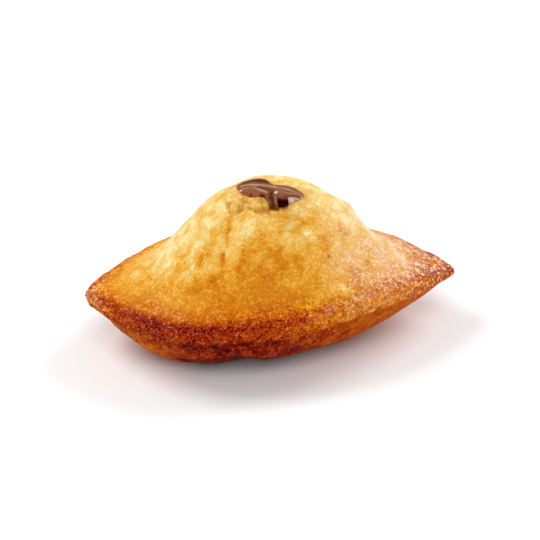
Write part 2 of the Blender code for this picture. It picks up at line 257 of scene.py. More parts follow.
def topHeight(x, y):
    side = across(x, y)
    tip = np.abs(x) / (cake["length"] / 2)
    centre = cake["humpX"]
    reach = np.where(x > centre, hingeEnd["humpReach"], fanEnd["humpReach"])
    spread = np.hypot((x - centre) / reach, y / cake["humpReachY"])
    hump = cake["humpHeight"] * 0.5 ** (spread ** cake["humpPower"])
    hump = hump * (1 - side ** cake["humpSidePower"])
    crown = cake["crownHeight"] * (1 - side ** cake["crownSidePower"])
    crown = crown * (1 - tip ** cake["crownTipPower"])
    uneven = swell(x, y) + collar(x, y) + bumps(x, y, lumps)
    uneven = uneven - crease["depth"] * ridge(x, y, crease["path"], crease["width"])
    uneven = uneven + tornLip["height"] * ridge(x, y, tornLip["path"], tornLip["width"])
    uneven = uneven - tornHollow["depth"] * ridge(x, y, tornHollow["path"], tornHollow["width"])
    return brimLevel(x, y) + crown + hump + uneven * (1 - side ** cake["unevenSidePower"])


def groove(x, y):
    toHinge = flutes["hingeX"] - x
    phase = np.arctan2(y, toHinge) / math.radians(flutes["pitch"])
    fullness = np.clip(np.hypot(toHinge, y) / flutes["fullFrom"], 0.0, 1.0) ** 2
    facingFan = np.clip(toHinge / flutes["fullFrom"] * 2, 0.0, 1.0)
    return (1 - np.abs(np.sin(math.pi * phase)) ** flutes["round"]) * fullness * facingFan


def bellyHeight(x, y):
    side = across(x, y, cake["edgeStep"])
    ends = np.clip(1 - towardTip(x) ** byEnd(x, "bellyPower"), 0.0, 1.0) ** cake["bellyRound"]
    sides = np.clip(1 - side ** cake["bellySidePower"], 0.0, 1.0) ** cake["bellySideRound"]
    drop = cake["edgeRadius"] + wallHeight(x) + cake["bellyDepth"] * ends * sides
    return brimLevel(x, y) - drop + bumps(x, y, bellyLumps)


def bellyPoints(x, y):
    # The grooves are pressed in square to the surface
    probe, steepest = flutes["probe"], flutes["steepest"]
    slopeX = (bellyHeight(x + probe, y) - bellyHeight(x - probe, y)) / (2 * probe)
    slopeY = (bellyHeight(x, y + probe) - bellyHeight(x, y - probe)) / (2 * probe)
    slopeX = np.clip(slopeX, -steepest, steepest)
    slopeY = np.clip(slopeY, -steepest, steepest)
    length = np.sqrt(slopeX**2 + slopeY**2 + 1)
    side = across(x, y, cake["edgeStep"])
    press = flutes["depth"] * groove(x, y) * (1 - side ** flutes["sidePower"])
    z = bellyHeight(x, y) + press / length
    return np.stack([x - slopeX / length * press, y - slopeY / length * press, z], -1)


def rimOutline(count):
    # Evenly spaced points from the hinge tip round by the far side and back by the near side
    angle = np.linspace(0.0, math.pi, flutes["outlineSteps"] + 1)
    forward = np.cos(angle)
    half = cake["length"] / 2
    widest = cake["widestX"]
    x = widest + np.where(forward > 0, half - widest, half + widest) * forward
    y = halfWidth(x)
    run = np.concatenate([[0.0], np.cumsum(np.hypot(np.diff(x), np.diff(y)))])
    even = np.linspace(0.0, run[-1], count // 2 + 1)
    halfX = np.interp(even, run, x)
    halfY = np.interp(even, run, y)
    x = np.concatenate([halfX, halfX[-2:0:-1]])
    y = np.concatenate([halfY, -halfY[-2:0:-1]])
    inward = flutes["scallop"] * groove(x, y) / np.hypot(flutes["hingeX"] - x, y)
    inward = inward * (np.abs(y) > flutes["probe"])
    return x + (flutes["hingeX"] - x) * inward, y - y * inward


# Mesh helpers

def noiseAt(points, size, shift):
    spots = (points / size + shift).tolist()
    return np.array([noise.noise(p) for p in spots])


def cellsAt(points, size, shift):
    # Distance to the nearest of the scattered cell points, in cell sizes
    spots = (points / size + shift).tolist()
    return np.array([noise.voronoi(p)[0][0] for p in spots])


def ringNormals(grid):
    # grid is rings by points by 3, closed along the points
    alongRing = np.roll(grid, -1, axis=1) - np.roll(grid, 1, axis=1)
    acrossRings = np.gradient(grid, axis=0)
    normal = np.cross(acrossRings, alongRing)
    length = np.linalg.norm(normal, axis=2, keepdims=True)
    return normal / np.maximum(length, 1e-9)


def meshFromRings(name, grid, firstCentre, lastCentre, fields):
    rings, count = grid.shape[:2]
    points = np.concatenate([grid.reshape(-1, 3), [firstCentre, lastCentre]])
    ring = np.arange(count)
    following = (ring + 1) % count
    faces = []
    for row in range(rings - 1):
        a = row * count
        b = a + count
        faces.append(np.stack([a + ring, a + following, b + following, b + ring], 1))
    quads = np.concatenate(faces).tolist()
    first = rings * count
    last = (rings - 1) * count
    closing = [(first, b, a) for a, b in zip(ring.tolist(), following.tolist())]
    closing += [(first + 1, last + a, last + b) for a, b in zip(ring.tolist(), following.tolist())]
    data = bpy.data.meshes.new(name)
    data.from_pydata((points * mm).tolist(), [], quads + closing)
    for field, (values, atFirst, atLast) in fields.items():
        layer = data.attributes.new(field, "FLOAT", "POINT")
        layer.data.foreach_set("value", np.concatenate([values.reshape(-1), [atFirst, atLast]]))
    data.shade_smooth()
    data.update()
    piece = bpy.data.objects.new(name, data)
    bpy.context.collection.objects.link(piece)
    return piece


# Shader helpers

class Wire:
    # A socket that takes part in sums: each sign adds the Math node that does it
    def __init__(self, tree, socket):
        self.tree = tree
        self.socket = socket

    def math(self, operation, first, second):
        return addNode(self.tree, "ShaderNodeMath", {"operation": operation}, {0: first, 1: second})

    def __add__(self, other):
        return self.math("ADD", self, other)

    __radd__ = __add__

    def __mul__(self, other):
        return self.math("MULTIPLY", self, other)

    __rmul__ = __mul__

    def __sub__(self, other):
        return self.math("SUBTRACT", self, other)

    def __rsub__(self, other):
        return self.math("SUBTRACT", other, self)

    def __truediv__(self, other):
        return self.math("DIVIDE", self, other)

    def __rtruediv__(self, other):
        return self.math("DIVIDE", other, self)

    def clamp(self):
        return addNode(self.tree, "ShaderNodeClamp", {}, {"Value": self})

    def between(self, low, high):
        return addNode(
            self.tree,
            "ShaderNodeMapRange",
            {"interpolation_type": "SMOOTHSTEP"},
            {"Value": self, "From Min": low, "From Max": high},
        )


def addNode(tree, kind, settings, inputs, output=0):
    node = tree.nodes.new(kind)
    for key, value in settings.items():
        if key == "stops":
            ramp = node.color_ramp
            while len(ramp.elements) < len(value):
                ramp.elements.new(0.5)
            for element, (position, colour) in zip(ramp.elements, value):
                element.position = position
                element.color = (*colour, 1.0)
        else:
            setattr(node, key, value)
    for key, value in inputs.items():
        if isinstance(value, Wire):
            tree.links.new(value.socket, node.inputs[key])
        else:
            node.inputs[key].default_value = value
    return Wire(tree, node.outputs[output])


def newMaterial(name):
    material = bpy.data.materials.new(name)
    material.use_nodes = True
    tree = material.node_tree
    shader = tree.nodes["Principled BSDF"]
    return material, tree, shader


def attribute(tree, name):
    return addNode(tree, "ShaderNodeAttribute", {"attribute_name": name}, {}, "Fac")


def feed(shader, socket, wire):
    wire.tree.links.new(wire.socket, shader.inputs[socket])


def srgb(red, green, blue):
    # A colour as it is read off a screen, 0 to 255, turned to the linear values that shaders use
    shares = (red / 255, green / 255, blue / 255)
    return tuple(c / 12.92 if c <= 0.04045 else ((c + 0.055) / 1.055) ** 2.4 for c in shares)


def darken(colour, amount):
    # Takes light away without making the colour much richer
    inputs = {0: colour, 1: 1 - amount, 2: amount * -0.04}
    return addNode(colour.tree, "ShaderNodeVectorMath", {"operation": "MULTIPLY_ADD"}, inputs)


def mix(factor, first, second):
    return first + (second - first) * factor


def mixColour(factor, first, second):
    tree = factor.tree
    node = tree.nodes.new("ShaderNodeMix")
    node.data_type = "RGBA"
    for key, value in ((0, factor), (6, first), (7, second)):
        if isinstance(value, Wire):
            tree.links.new(value.socket, node.inputs[key])
        else:
            node.inputs[key].default_value = (*value, 1.0)
    return Wire(tree, node.outputs[2])


# The sponge

spongeFinish = {
    "rimPoints": 560,
    "topRings": 116,
    "topCrowding": 1.1,
    "edgeRings": 8,
    "wallRings": 6,
    "bellyRings": 33,
    "bellyCrowding": 1.25,
    "mouthRings": 5,
    "lipGroove": 0.4,
    "hingeGroove": (24.0, 36.0),
    "fanGroove": (35.0, 40.0),
    "fanGrooveShare": 0.8,
}
# Fine relief: sizes, heights, and the shares of each kind in different places
reliefFinish = {
    "lumpSize": 5.0,
    "lumpHeight": 0.16,
    "smallLumps": 0.5,
    "peelSize": 2.3,
    "peelHeight": 0.06,
    "humpPeelHeight": 0.1,
    "smallPeel": 0.6,
    "grainSize": 0.62,
    "grainHeight": 0.08,
    "grainOnTop": 0.25,
    "grainOnFlank": 0.35,
    "grainAtRim": 0.5,
    "grainBelow": 0.45,
    "pitSize": 1.3,
    "pitDepth": 0.2,
    "pitCut": (0.28, 0.55),
    "pitsOnTop": 0.25,
    "pitsBelow": 0.8,
    "calmedByTear": 0.7,
    "wobbleSize": 1.3,
    "wobble": 0.9,
    "goldenDepth": 0.3,
    "creamRise": 0.4,
    "poreDepth": 0.5,
}
# Where one part of the crust gives way to the next: by the distance in from the edge, and by x
insetRanges = {"edge": (0.2, 1.8), "brim": (1.5, 5.5), "hump": (7.0, 13.0), "flank": (10.0, 19.0)}
hingeRange = (4.0, 24.0)
fanRange = (-8.0, -22.0)
tipRange = (0.62, 0.92)
# How browned the crust is, as (x, level) along the cake: 0 is cream and brownRange nearly black
brownRange = 1.6
edgeBrowned = (
    (-41, 0.82), (-33, 1.16), (-25, 1.37), (-13, 1.33), (4, 1.14), (14, 0.84), (21, 0.8), (41, 1.02)
)
innerBrowned = (
    (-41, 0.7), (-35, 0.55), (-20, 0.6), (-1, 0.69), (11, 0.47), (18, 0.36), (28, 0.55), (36, 0.78)
)
farBrowned = ((-41, 0.8), (-25, 0.4), (15, 0.36), (30, 0.8))
humpBrowned = ((-20, 0.13), (-2, 0.12), (10, 0.17), (20, 0.13))
bellyBrowned = ((-41, 0.84), (-31, 0.9), (-25, 0.98), (-16, 1.36), (0, 1.26), (10, 1.1), (20, 0.96))
# The share that is left of the edge's browning, and of the inner top's, by the distance in from the edge
edgeReach = (
    (0.0, 0.8), (0.4, 0.84), (0.9, 1.06), (1.4, 0.98), (2.1, 0.78), (3.6, 0.3), (4.8, 0.24), (7.0, 0.0)
)
innerReach = ((8.0, 1.0), (10.2, 0.9), (12.6, 0.45), (15.0, 0.2), (18.0, 0.04), (20.0, 0.0))
# The far side starts at sideRange. Its rim is browned in the middle and paler at both ends
farLook = {
    "sideRange": (-1.0, 6.0),
    "middleRange": (10.0, 22.0),
    "endRange": (-6.0, 14.0),
    "fanRim": 0.62,
    "hingeRim": 0.88,
    "middleRim": 0.95,
    "rimWidth": 1.2,
    "topRise": 0.28,
    "middleRise": 0.4,
}
# The pale sheen painted on the hinge end, as (x, amount), and its shares by the distance in from the edge
sheenAlong = ((10, 0.0), (17, 0.18), (26, 0.38), (41, 0.52))
sheenAcross = {"atRim": 0.2, "rim": 0.3, "rimRange": (0.0, 2.0), "shoulder": 0.5, "shoulderRange": (1.0, 8.0)}
sheenFar = {"less": 0.4, "range": (-1.0, 4.0)}
# Thin painted sheen besides: on the fan's tip, and a painted highlight along the edge
tipSheen = {"amount": 0.13, "range": (-34.0, -39.0)}
edgeSheen = {"amount": 0.09, "across": (0.2, 0.8, 0.8, 3.0), "along": (4.0, 12.0, 16.0, 24.0)}
# Darker places: the flutes, painted shade in the crease, the open pores and the fold under the lip, painted
# shadow where it rests
creaseShade = {"darker": 0.3, "width": 0.75}
poreShade = 0.8
fluteDarker = 0.18
restShadow = {"darker": 0.3, "x": -6.0, "range": (6.0, 16.0), "height": (1.0, 6.0)}
lipShade = {"below": 2.0, "width": 1.2, "darker": 0.16, "range": (-4.0, 8.0)}
# Golden dimples where the skin is thin: (x, y, radius, how much browner)
goldenPatches = (
    (-8.0, -1.6, 2.8, 0.14),
    (1.0, -16.6, 1.9, 0.1),
    (3.2, -22.2, 1.8, 0.06),
    (17.0, -15.2, 1.6, 0.14),
    (-12.0, -12.6, 1.6, 0.1),
    (-5.2, -8.4, 1.8, 0.28),
    (-12.8, -15.8, 2.4, 0.12),
    (-5.5, 2.6, 2.0, 0.12),
    (4.6, -9.6, 2.6, 0.12),
    (-9.1, -8.8, 1.9, 0.2),
    (-13.9, -10.2, 1.6, 0.3),
    (-18.1, -7.6, 1.3, 0.32),
    (-13.0, -4.1, 1.4, 0.2),
    (-8.7, -5.6, 0.9, 0.12),
    (-5.3, -14.2, 2.1, 0.08),
    (-17.1, -10.4, 1.5, 0.1),
    (-9.9, -14.8, 0.8, 0.2),
    (-0.3, -12.1, 1.6, 0.26),
    (-2.7, -12.3, 0.9, 0.12),
    (7.2, -10.6, 1.1, 0.14),
    (6.8, -15.6, 1.1, 0.12),
    (11.3, -9.0, 1.9, 0.22),
    (12.6, -6.3, 0.8, 0.24),
    (15.9, -7.4, 1.4, 0.24),
    (20.6, -3.6, 1.0, 0.12),
    (20.4, -7.0, 1.0, 0.16),
    (21.0, -10.2, 1.1, 0.2),
    (18.4, -13.8, 1.2, 0.34),
    (-26.4, -11.4, 1.6, 0.1),
    (-9.0, 8.4, 2.1, 0.26),
    (-15.6, 5.8, 1.7, 0.22),
    (-2.5, 11.2, 1.6, 0.24),
    (5.2, 9.6, 2.2, 0.24),
    (12.4, 7.6, 1.8, 0.22),
    (19.0, 8.4, 1.4, 0.26),
)
# Cream bumps: (x, y, radius, how much paler)
creamPatches = (
    (0.5, 4.8, 2.6, 0.12),
    (-18.5, -3.8, 1.4, 0.14),
    (-16.3, -9.3, 0.7, 0.3),
    (-15.9, -10.9, 0.7, 0.3),
    (-8.4, -12.2, 1.0, 0.34),
    (-4.6, -10.7, 1.4, 0.18),
    (8.2, -11.0, 0.7, 0.35),
    (4.7, -18.2, 0.6, 0.2),
    (-9.0, -15.4, 0.5, 0.3),
    (-6.9, -4.6, 1.6, 0.14),
    (22.3, -1.4, 2.0, 0.2),
    (27.3, -3.3, 1.8, 0.18),
    (29.2, -4.9, 1.6, 0.18),
    (-23.2, -6.1, 1.5, 0.13),
    (-21.9, -2.3, 1.5, 0.12),
    (15.6, -17.2, 1.2, 0.25),
    (8.0, -21.3, 1.0, 0.2),
    (-12.0, 9.4, 1.4, 0.22),
    (9.2, 12.0, 1.6, 0.22),
    (2.0, 14.2, 1.4, 0.2),
    (16.2, 5.2, 1.3, 0.2),
)
# Small open pores, painted darker inside as shade: (x, y, radius, depth)
openPores = (
    (-9.0, -12.1, 0.5, 0.5),
    (21.2, -5.2, 0.4, 0.4),
    (12.7, -13.2, 0.3, 0.4),
    (14.2, -13.8, 0.4, 0.3),
    (-8.2, 12.4, 0.4, 0.4),
    (7.5, 6.4, 0.4, 0.4),
)
# Where the mould left the belly lighter: (x, y, radius, how much paler)
paleBelly = (
    (-14.6, -24.2, 2.0, 0.25),
    (-11.0, -24.8, 1.4, 0.2),
    (-1.6, -25.6, 1.6, 0.2),
    (-24.0, -19.6, 2.4, 0.2),
    (9.0, -24.0, 2.2, 0.14),
    (-10.0, 24.6, 3.0, 0.2),
    (6.0, 24.4, 3.0, 0.2),
    (-25.0, 18.6, 2.8, 0.2),
)
# Pits in the torn crumb: (x, y, radius, depth)
tornPits = (
    (-4.9, -6.6, 0.4, 0.9),
    (-3.2, -7.1, 0.3, 0.5),
    (-1.6, -8.0, 0.35, 0.9),
    (-0.9, -8.1, 0.35, 0.7),
    (0.8, -8.2, 0.4, 0.9),
    (1.7, -7.8, 0.4, 1.0),
)
# Stains and painted shade on the crumb below the chocolate: (path, half width, how dark)
stainsAndShade = (
    # Chocolate stain, with painted shade of the hollow under the chocolate's tip
    (((1.2, -7.0), (2.0, -7.5), (3.0, -7.9), (4.1, -8.0), (4.9, -7.7)), 0.45, 0.9),
    (((1.6, -7.7), (2.9, -8.3)), 0.35, 0.8),
    # Painted shadow line under the facet
    (((5.2, -7.4), (6.7, -6.4), (8.4, -5.2)), 0.25, 0.6),
)
# Darker in a narrow band just outside the chocolate's edge
chocolateRimDark = {"dark": 0.3, "width": 0.5}
# The torn crumb; its shade, hollow shade, gaps and pits are painted shade
crumbFinish = {
    "reach": 1.9,
    "tornFrom": (0.3, 0.75),
    "ringTorn": 0.4,
    "ringRange": (0.1, 0.6),
    "size": 1.5,
    "smallCrumbs": 0.25,
    "level": 0.6,
    "height": 0.34,
    "gapRange": (-0.05, 0.3),
    "gapShade": 0.85,
    "pitDepth": 0.3,
    "shade": 0.42,
    "shadeReach": 6.0,
    "hollowShade": 0.4,
}


def fromBrim(x, y):
    probe = flutes["probe"]
    slope = (halfWidth(x + probe) - halfWidth(x - probe)) / (2 * probe)
    steepest = flutes["steepest"]
    return (halfWidth(x) - np.abs(y)) / np.sqrt(1 + np.clip(slope, -steepest, steepest) ** 2)


def wobble(x, y):
    # Shifts places a little, so that patches aren't round
    flat = np.stack([x, y, np.zeros(np.shape(x))], -1).reshape(-1, 3)
    shiftX = noiseAt(flat, reliefFinish["wobbleSize"], 71.3).reshape(np.shape(x))
    shiftY = noiseAt(flat, reliefFinish["wobbleSize"], 19.8).reshape(np.shape(x))
    return x + reliefFinish["wobble"] * shiftX, y + reliefFinish["wobble"] * shiftY


def topBrowningAndShade(x, y, inset):
    far = farLook
    farSide = fade(y, *far["sideRange"])
    edge = along(x, edgeBrowned)
    middle = 1 - fade(np.abs(x), *far["middleRange"])
    farEnds = mix(fade(x, *far["endRange"]), far["fanRim"], far["hingeRim"])
    farRim = edge * np.maximum(farEnds, far["middleRim"] * middle)
    farTop = np.minimum(edge, far["topRise"] + along(x, farBrowned) + far["middleRise"] * middle)
    farEdge = mix(fade(inset, 0.0, far["rimWidth"]), farRim, farTop)
    edge = mix(farSide, edge, farEdge)
    inner = mix(farSide, along(x, innerBrowned), along(x, farBrowned))
    hump = along(x, humpBrowned)
    inner = hump + (inner - hump) * along(inset, innerReach)
    level = inner + (edge - inner) * along(inset, edgeReach)
    x, y = wobble(x, y)
    level = level + bumps(x, y, goldenPatches) - bumps(x, y, creamPatches)
    # Painted shade in the crease and in the open pores
    level = level + creaseShade["darker"] * ridge(x, y, crease["path"], creaseShade["width"])
    return level + poreShade * bumps(x, y, openPores)


def bellyBrowningAndShade(x, y, z):
    # Painted shadow near the floor where it rests
    resting = 1 - fade(np.abs(x - restShadow["x"]), *restShadow["range"])
    resting = resting * (1 - fade(z, *restShadow["height"]))
    level = along(x, bellyBrowned) + restShadow["darker"] * resting
    level = level - bumps(x, y, paleBelly) + fluteDarker * groove(x, y)
    # Painted shade in the fold under the lip
    fallen = brimLevel(x, y) - cake["edgeRadius"] - z
    fold = np.exp(-(((fallen - lipShade["below"]) / lipShade["width"]) ** 2))
    return level + lipShade["darker"] * fold * (1 - fade(x, *lipShade["range"]))


def paintedSheen(x, y, inset):
    # The painted sheen is thin at the edge and thickest on the shoulder of the hinge end
    rim = sheenAcross["rim"] * fade(inset, *sheenAcross["rimRange"])
    shoulder = sheenAcross["shoulder"] * fade(inset, *sheenAcross["shoulderRange"])
    film = along(x, sheenAlong) * (sheenAcross["atRim"] + rim + shoulder)
    film = film * (1 - sheenFar["less"] * fade(y, *sheenFar["range"]))
    film = film + tipSheen["amount"] * fade(x, *tipSheen["range"])
    return film + edgeSheen["amount"] * plateau(inset, *edgeSheen["across"]) * plateau(x, *edgeSheen["along"])


def dimples(x, y):
    x, y = wobble(x, y)
    depth = reliefFinish["goldenDepth"] * bumps(x, y, goldenPatches)
    depth = depth - reliefFinish["creamRise"] * bumps(x, y, creamPatches)
    return depth + reliefFinish["poreDepth"] * bumps(x, y, openPores)


def tornCrumb(x, y, flat, outside):
    # Returns the crumb's height, how torn each place is, and the painted shade between crumbs, in its pits,
    # along the hollow below the lip and round the mouth
    x, y = wobble(x, y)
    finish = crumbFinish
    nearLip = ridge(x, y, tornLip["path"], finish["reach"])
    nearMouth = 1 - fade(outside, *finish["ringRange"])
    torn = np.maximum(fade(nearLip, *finish["tornFrom"]), finish["ringTorn"] * nearMouth)
    size = finish["size"]
    cells = cellsAt(flat, size, 41.9) + finish["smallCrumbs"] * cellsAt(flat, size / 2, 5.3)
    crumbs = finish["level"] - cells.reshape(x.shape)
    pits = bumps(x, y, tornPits)
    shade = finish["shade"] * (1 - fade(outside, 0.0, finish["shadeReach"]))
    hollow = finish["hollowShade"] * ridge(x, y, tornHollow["path"], tornHollow["width"])
    gap = fade(-crumbs, *finish["gapRange"]) * torn * finish["gapShade"] + hollow + pits + shade
    height = finish["height"] * crumbs * torn - finish["pitDepth"] * pits
    return height, torn, np.clip(gap, 0.0, 1.0)


# How each part of the crust looks: the most it can be, the shares of the places on the top,
# then the belly's own level and what the hinge end adds to that
crustLook = {
    "flecked": (
        1.0,
        {"all": 0.24, "hinge": 0.6, "fan": 0.24, "brim": -0.1, "hump": -0.08, "edge": -0.1},
        (0.15, -0.15),
    ),
    "coarse": (1.0, {"tips": 1.0, "hingeBrim": 0.5}, (0.3, 0.0)),
    "contrast": (2.0, {"all": 0.3, "brim": 0.48, "hingeTip": 1.2, "hinge": -0.05, "tips": 0.1}, (0.8, -0.1)),
    "patchy": (2.0, {"all": 0.5, "hump": 0.4, "hingeBrim": 0.3}, (1.1, -0.4)),
}
# What changes below the edge, at the hinge and on the hump
crustChange = {
    "underWidth": 1.8,
    "unevenUnder": 0.9,
    "humpPeel": 0.2,
    "sheenLostBelow": 0.85,
    "specklesLostBelow": 0.4,
    "specklesLostHinge": 0.5,
}


def spongeRings():
    # From the mouth's floor over the top, round the edge and under to the belly's middle
    finish = spongeFinish
    rimX, rimY = rimOutline(finish["rimPoints"])
    level = brimLevel(rimX, rimY)
    awayX, awayY = rimX - mouth["x"], rimY - mouth["y"]
    distance = np.hypot(awayX, awayY)
    awayX, awayY = awayX / distance, awayY / distance
    angle = np.arctan2(awayY, awayX)
    radius = cake["edgeRadius"]
    rings = []
    kinds = []

    def addRing(kind, x, y, z):
        rings.append(np.stack([x, y, z], -1))
        kinds.append(kind)

    edgeX, edgeY = aroundMouth(angle, mouthRadius(angle))
    edgeZ = topHeight(edgeX, edgeY)
    floor = mouthFloor()
    for step in range(finish["mouthRings"]):
        share = step / finish["mouthRings"]
        x, y = aroundMouth(angle, mouthRadius(angle) - mouth["draft"] * (1 - share))
        addRing("mouth", x, y, floor + (edgeZ - floor) * share)

    # Top, denser near the mouth
    brimX, brimY = rimX - awayX * radius, rimY - awayY * radius
    for step in range(finish["topRings"] + 1):
        share = (step / finish["topRings"]) ** finish["topCrowding"]
        x = edgeX + (brimX - edgeX) * share
        y = edgeY + (brimY - edgeY) * share
        addRing("top", x, y, topHeight(x, y))

    # Rounded edge, then the wall with the groove below the lip
    brimZ = topHeight(brimX, brimY)
    for step in range(1, finish["edgeRings"] + 1):
        turn = math.pi / 2 * step / finish["edgeRings"]
        x = brimX + (rimX - brimX) * math.sin(turn)
        y = brimY + (rimY - brimY) * math.sin(turn)
        addRing("top", x, y, level - radius + (brimZ - level + radius) * math.cos(turn))
    hingeX = flutes["hingeX"]
    toHinge = np.hypot(hingeX - rimX, rimY)
    inX, inY = (hingeX - rimX) / toHinge, -rimY / toHinge
    lipGroove = 1 - fade(rimX, *finish["hingeGroove"])
    lipGroove = lipGroove + finish["fanGrooveShare"] * fade(-rimX, *finish["fanGroove"])
    for step in range(1, finish["wallRings"] + 1):
        share = step / finish["wallRings"]
        tuck = cake["edgeStep"] * cake["wallTuck"] * share**2
        tuck = tuck + finish["lipGroove"] * lipGroove * math.sin(math.pi * share)
        z = level - radius - wallHeight(rimX) * share
        addRing("below", rimX + inX * tuck, rimY + inY * tuck, z)
    bellyX = rimX + inX * cake["edgeStep"] * cake["bellyTuck"]
    bellyY = rimY + inY * cake["edgeStep"] * cake["bellyTuck"]
    for step in range(finish["bellyRings"]):
        share = 1 - (step / finish["bellyRings"]) ** finish["bellyCrowding"]
        rings.append(bellyPoints(hingeX + (bellyX - hingeX) * share, bellyY * share))
        kinds.append("below")
    return np.stack(rings), np.array(kinds)[:, None]


def crustDetail(grid, kinds):
    # Returns the fine relief, and the fields that the material reads, each with its values on the
    # rings and at the first and the last centre
    finish = reliefFinish
    change = crustChange
    x, y, z = grid[..., 0], grid[..., 1], grid[..., 2]
    flat = grid.reshape(-1, 3)
    isMouth, isTop, isBelow = (kinds == kind for kind in ("mouth", "top", "below"))
    inset = np.where(isBelow, 0.0, fromBrim(x, y))
    outside = outsideMouth(x, y)
    # The crumb's height, how torn it is and its painted shade
    crumbHeight, torn, gap = (np.where(isTop, level, 0.0) for level in tornCrumb(x, y, flat, outside))
    onHump = np.where(isTop, fade(inset, *insetRanges["hump"]), 0.0)
    onFlank = np.where(isTop, 1 - fade(inset, *insetRanges["flank"]), 0.0)
    atBrim = np.where(isTop, 1 - fade(inset, *insetRanges["brim"]), 0.0)
    tips = fade(towardTip(x), *tipRange)
    hinge = fade(x, *hingeRange)

    def layers(size, smallShare, shift, smallShift):
        # Noise with a second layer on it that is half as large
        noises = noiseAt(flat, size, shift) + smallShare * noiseAt(flat, size / 2, smallShift)
        return noises.reshape(x.shape)

    lump = layers(finish["lumpSize"], finish["smallLumps"], 3.1, 11.7)
    peel = layers(finish["peelSize"], finish["smallPeel"], 27.3, 33.9)
    grain = noiseAt(flat, finish["grainSize"], 61.7).reshape(x.shape)
    pit = fade(noiseAt(flat, finish["pitSize"], 8.4).reshape(x.shape), *finish["pitCut"])
    rough = finish["grainOnTop"] + finish["grainOnFlank"] * onFlank
    rough = np.clip(rough + finish["grainAtRim"] * np.maximum(atBrim, tips), 0.0, 1.0)
    rough = np.where(isBelow, finish["grainBelow"], rough)
    pitted = np.where(isBelow, finish["pitsBelow"], mix(atBrim, finish["pitsOnTop"], 1.0))
    calm = 1 - finish["calmedByTear"] * np.maximum(torn, 1 - fade(outside, 0.0, 1.0))
    relief = finish["lumpHeight"] * lump * fade(outside, 0.0, 2.0)
    relief = relief + mix(onHump, finish["peelHeight"], finish["humpPeelHeight"]) * peel * calm
    relief = relief + finish["grainHeight"] * grain * rough
    relief = relief + crumbHeight - np.where(isTop, dimples(x, y), 0.0) - finish["pitDepth"] * pit * pitted

    # Below the edge the top's look gives way to the belly's, unevenly
    fallen = brimLevel(x, y) - cake["edgeRadius"] - z + change["unevenUnder"] * peel
    under = np.where(isBelow, fade(fallen, 0.0, change["underWidth"]), 0.0)
    atBrim = np.where(isBelow, 1.0, atBrim)
    edge = (1 - fade(inset, *insetRanges["edge"])) * hinge
    places = {"all": 1.0, "hinge": hinge, "fan": fade(x, *fanRange), "hump": onHump, "edge": edge}
    places |= {"tips": tips, "hingeTip": tips * hinge, "brim": atBrim, "hingeBrim": atBrim * hinge}

    def look(name):
        most, shares, (belly, bellyHinge) = crustLook[name]
        top = np.clip(sum(share * places[key] for key, share in shares.items()), 0.0, most)
        return mix(under, top, belly + bellyHinge * hinge)

    browned = mix(under, topBrowningAndShade(x, y, inset), bellyBrowningAndShade(x, y, z))
    browned = browned - change["humpPeel"] * peel * onHump * (1 - torn)
    # Painted sheen, mostly lost below the edge
    film = paintedSheen(x, y, inset) * (1 - change["sheenLostBelow"] * under)
    speckled = atBrim * (1 - change["specklesLostBelow"] * under) * (1 - change["specklesLostHinge"] * hinge)
    # Stains and painted shade round the chocolate
    stained = sum(dark * ridge(x, y, path, width) for path, width, dark in stainsAndShade)
    stained = np.maximum(stained, chocolateRimDark["dark"] * np.exp(-((outside / chocolateRimDark["width"]) ** 2)))
    return np.where(isMouth, 0.0, relief), {
        "browned": (np.clip(browned / brownRange, 0.0, 1.0), 0.5, 0.8),
        "flecked": (look("flecked") * (1 - torn), 0.0, 0.0),
        "film": (film, 0.0, 0.0),
        "coarse": (look("coarse"), 0.0, 0.0),
        "speckled": (speckled, 0.0, 0.3),
        "contrast": (look("contrast"), 0.0, 0.4),
        "patchy": (look("patchy"), 0.5, 0.9),
        "stained": (np.where(isTop, stained, 0.0), 0.0, 0.0),
        "torn": (np.where(isMouth, 1.0, torn), 1.0, 0.0),
        "gap": (np.where(isMouth, 0.6, gap), 1.0, 0.0),
    }


def buildSponge():
    grid, kinds = spongeRings()
    relief, fields = crustDetail(grid, kinds)
    # The relief stands square to the surface
    grid = grid + ringNormals(grid) * relief[..., None]
    grid[..., 2] = np.maximum(grid[..., 2], 0.0)
    hingeX = flutes["hingeX"]
    mouthCentre = (mouth["x"], mouth["y"], mouthFloor())
    bellyCentre = (hingeX, 0.0, float(bellyHeight(hingeX, 0.0)))
    piece = meshFromRings("spongeCrust", grid, mouthCentre, bellyCentre, fields)
    piece.data.materials.append(spongeMaterial())
    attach(piece, "root")
    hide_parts("madeleine_sponge")
    return piece


crustColours = {
    # how browned, and its colour
    "stops": (
        (0.0, srgb(250, 226, 160)),
        (0.15, srgb(242, 204, 122)),
        (0.3, srgb(237, 188, 94)),
        (0.45, srgb(232, 170, 62)),
        (0.57, srgb(226, 154, 40)),
        (0.65, srgb(216, 138, 26)),
        (0.77, srgb(208, 120, 16)),
        (0.9, srgb(193, 95, 12)),
        (1.05, srgb(172, 72, 9)),
        (1.2, srgb(150, 46, 7)),
        (1.35, srgb(126, 25, 4)),
        (1.6, srgb(72, 10, 2)),
    ),
    # Fleck colours: pale grains of the crust, partly painted glints
    "cream": srgb(254, 232, 176),
    "golden": srgb(246, 196, 126),
    "rust": srgb(230, 142, 88),
    # Rosy glints painted on the sheen, then the painted sheen's pale and rosy colours
    "rosyGlint": srgb(249, 226, 200),
    "paleSheen": srgb(244, 218, 210),
    "rosySheen": srgb(237, 187, 168),
    "crumbPale": srgb(249, 213, 134),
    "crumbDeep": srgb(234, 180, 78),
    # Painted shade in the gaps between crumbs, in pits and round the mouth
    "gap": srgb(180, 116, 0),
    # Stains and painted shade round the chocolate
    "stainAndShade": srgb(110, 56, 8),
}
